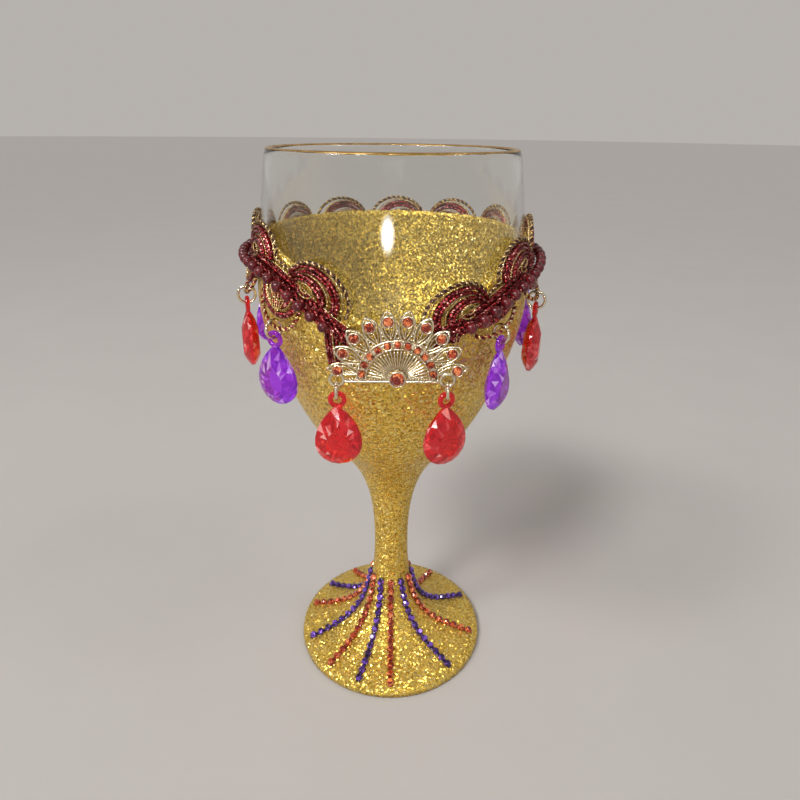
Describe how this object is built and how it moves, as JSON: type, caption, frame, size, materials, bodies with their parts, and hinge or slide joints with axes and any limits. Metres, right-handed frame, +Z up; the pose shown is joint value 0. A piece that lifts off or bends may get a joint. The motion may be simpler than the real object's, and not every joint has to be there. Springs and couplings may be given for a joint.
{
  "type": "stemmed goblet",
  "caption": "Stemmed glass goblet coated in gold glitter, with a beaded braid round the bowl, a stone-set fan, faceted drops on jump rings and strips of stones on the foot.",
  "frame": {"origin": "middle of the flat underside of the foot, on the glass's axis", "axes": "+Z up along the glass's axis; the fan faces -Y"},
  "size_m": [0.0951, 0.0953, 0.1852],
  "materials": {
    "glass": "clear, polished",
    "glitter": "coarse gold glitter in clear varnish",
    "gilt": "thin gilt line, polished",
    "braid_red": "woven metallic cord, dark red",
    "braid_gold": "twisted metallic cord, gold and dark red",
    "bead": "dark red pearl",
    "fan_metal": "pale champagne plate, stamped",
    "red_stone": "clear red acrylic, faceted",
    "purple_stone": "clear purple acrylic, faceted",
    "ring_metal": "pale plated wire"
  },
  "bodies": {
    "goblet": {"goblet_glass": "glass", "glitter_coat": "glitter", "gilt_rim": "gilt", "braid_ribbon": "braid_red", "braid_edge_cord": "braid_gold", "braid_lobe_cord": "braid_gold", "braid_beads": "bead", "fan_filigree": "fan_metal", "fan_arc_chain": "red_stone", "fan_centre_stone": "red_stone", "fan_petal_stone_1": "red_stone", "fan_petal_stone_2": "red_stone", "fan_petal_stone_3": "red_stone", "fan_petal_stone_4": "red_stone", "fan_petal_stone_5": "red_stone", "fan_petal_stone_6": "red_stone", "fan_petal_stone_7": "red_stone", "fan_petal_stone_8": "red_stone", "fan_petal_stone_9": "red_stone", "fan_petal_stone_10": "red_stone", "red_strip_1": "red_stone", "purple_strip_2": "purple_stone", "red_strip_3": "red_stone", "purple_strip_4": "purple_stone", "red_strip_5": "red_stone", "purple_strip_6": "purple_stone", "red_strip_7": "red_stone", "purple_strip_8": "purple_stone", "red_strip_9": "red_stone", "purple_strip_10": "purple_stone", "red_strip_11": "red_stone", "purple_strip_12": "purple_stone"},
    "ring_1": {"jump_ring_1": "ring_metal"},
    "drop_1": {"red_drop_1": "red_stone"},
    "ring_2": {"jump_ring_2": "ring_metal"},
    "drop_2": {"red_drop_2": "red_stone"},
    "ring_3": {"jump_ring_3": "ring_metal"},
    "drop_3": {"purple_drop_3": "purple_stone"},
    "ring_4": {"jump_ring_4": "ring_metal"},
    "drop_4": {"red_drop_4": "red_stone"},
    "ring_5": {"jump_ring_5": "ring_metal"},
    "drop_5": {"purple_drop_5": "purple_stone"},
    "ring_6": {"jump_ring_6": "ring_metal"},
    "drop_6": {"red_drop_6": "red_stone"},
    "ring_7": {"jump_ring_7": "ring_metal"},
    "drop_7": {"purple_drop_7": "purple_stone"},
    "ring_8": {"jump_ring_8": "ring_metal"},
    "drop_8": {"purple_drop_8": "purple_stone"},
    "ring_9": {"jump_ring_9": "ring_metal"},
    "drop_9": {"red_drop_9": "red_stone"},
    "ring_10": {"jump_ring_10": "ring_metal"},
    "drop_10": {"purple_drop_10": "purple_stone"},
    "ring_11": {"jump_ring_11": "ring_metal"},
    "drop_11": {"red_drop_11": "red_stone"},
    "ring_12": {"jump_ring_12": "ring_metal"},
    "drop_12": {"purple_drop_12": "purple_stone"}
  },
  "joints": [
    {"name": "ring_1_swing", "type": "hinge", "parent": "goblet", "child": "ring_1", "pos_m": [-0.0146, -0.04412, 0.12795], "axis": [-1, 0, 0], "range_deg": [-15, 75]},
    {"name": "drop_1_sway", "type": "hinge", "parent": "ring_1", "child": "drop_1", "pos_m": [-0.0146, -0.04412, 0.12425], "axis": [0, -1, 0], "range_deg": [-30, 30]},
    {"name": "ring_2_swing", "type": "hinge", "parent": "goblet", "child": "ring_2", "pos_m": [0.0146, -0.04412, 0.12795], "axis": [-1, 0, 0], "range_deg": [-15, 75]},
    {"name": "drop_2_sway", "type": "hinge", "parent": "ring_2", "child": "drop_2", "pos_m": [0.0146, -0.04412, 0.12425], "axis": [0, -1, 0], "range_deg": [-30, 30]},
    {"name": "ring_3_swing", "type": "hinge", "parent": "goblet", "child": "ring_3", "pos_m": [0.0296, -0.03442, 0.1405], "axis": [-0.7581, -0.6521, 0], "range_deg": [-5, 75]},
    {"name": "drop_3_sway", "type": "hinge", "parent": "ring_3", "child": "drop_3", "pos_m": [0.0296, -0.03442, 0.13683], "axis": [0.6521, -0.7581, 0], "range_deg": [-30, 30]},
    {"name": "ring_4_swing", "type": "hinge", "parent": "goblet", "child": "ring_4", "pos_m": [0.04303, -0.01473, 0.1446], "axis": [-0.3239, -0.9461, 0], "range_deg": [-5, 75]},
    {"name": "drop_4_sway", "type": "hinge", "parent": "ring_4", "child": "drop_4", "pos_m": [0.04303, -0.01473, 0.14093], "axis": [0.9461, -0.3239, 0], "range_deg": [-30, 30]},
    {"name": "ring_5_swing", "type": "hinge", "parent": "goblet", "child": "ring_5", "pos_m": [0.04457, 0.00907, 0.1446], "axis": [0.1994, -0.9799, 0], "range_deg": [-5, 75]},
    {"name": "drop_5_sway", "type": "hinge", "parent": "ring_5", "child": "drop_5", "pos_m": [0.04457, 0.00907, 0.14093], "axis": [0.9799, 0.1994, 0], "range_deg": [-30, 30]},
    {"name": "ring_6_swing", "type": "hinge", "parent": "goblet", "child": "ring_6", "pos_m": [0.03385, 0.03037, 0.1446], "axis": [0.6678, -0.7443, 0], "range_deg": [-5, 75]},
    {"name": "drop_6_sway", "type": "hinge", "parent": "ring_6", "child": "drop_6", "pos_m": [0.03385, 0.03037, 0.14093], "axis": [0.7443, 0.6678, 0], "range_deg": [-30, 30]},
    {"name": "ring_7_swing", "type": "hinge", "parent": "goblet", "child": "ring_7", "pos_m": [0.01383, 0.04333, 0.1446], "axis": [0.9527, -0.304, 0], "range_deg": [-5, 75]},
    {"name": "drop_7_sway", "type": "hinge", "parent": "ring_7", "child": "drop_7", "pos_m": [0.01383, 0.04333, 0.14093], "axis": [0.304, 0.9527, 0], "range_deg": [-30, 30]},
    {"name": "ring_8_swing", "type": "hinge", "parent": "goblet", "child": "ring_8", "pos_m": [-0.01, 0.04437, 0.1446], "axis": [0.9755, 0.2198, 0], "range_deg": [-5, 75]},
    {"name": "drop_8_sway", "type": "hinge", "parent": "ring_8", "child": "drop_8", "pos_m": [-0.01, 0.04437, 0.14093], "axis": [-0.2198, 0.9755, 0], "range_deg": [-30, 30]},
    {"name": "ring_9_swing", "type": "hinge", "parent": "goblet", "child": "ring_9", "pos_m": [-0.03108, 0.03321, 0.1446], "axis": [0.7302, 0.6833, 0], "range_deg": [-5, 75]},
    {"name": "drop_9_sway", "type": "hinge", "parent": "ring_9", "child": "drop_9", "pos_m": [-0.03108, 0.03321, 0.14093], "axis": [-0.6833, 0.7302, 0], "range_deg": [-30, 30]},
    {"name": "ring_10_swing", "type": "hinge", "parent": "goblet", "child": "ring_10", "pos_m": [-0.04361, 0.01292, 0.1446], "axis": [0.284, 0.9588, 0], "range_deg": [-5, 75]},
    {"name": "drop_10_sway", "type": "hinge", "parent": "ring_10", "child": "drop_10", "pos_m": [-0.04361, 0.01292, 0.14093], "axis": [-0.9588, 0.284, 0], "range_deg": [-30, 30]},
    {"name": "ring_11_swing", "type": "hinge", "parent": "goblet", "child": "ring_11", "pos_m": [-0.04415, -0.01093, 0.1446], "axis": [-0.2402, 0.9707, 0], "range_deg": [-5, 75]},
    {"name": "drop_11_sway", "type": "hinge", "parent": "ring_11", "child": "drop_11", "pos_m": [-0.04415, -0.01093, 0.14093], "axis": [-0.9707, -0.2402, 0], "range_deg": [-30, 30]},
    {"name": "ring_12_swing", "type": "hinge", "parent": "goblet", "child": "ring_12", "pos_m": [-0.03249, -0.0317, 0.1405], "axis": [-0.6984, 0.7157, 0], "range_deg": [-5, 75]},
    {"name": "drop_12_sway", "type": "hinge", "parent": "ring_12", "child": "drop_12", "pos_m": [-0.03249, -0.0317, 0.13683], "axis": [-0.7157, -0.6984, 0], "range_deg": [-30, 30]}
  ]
}
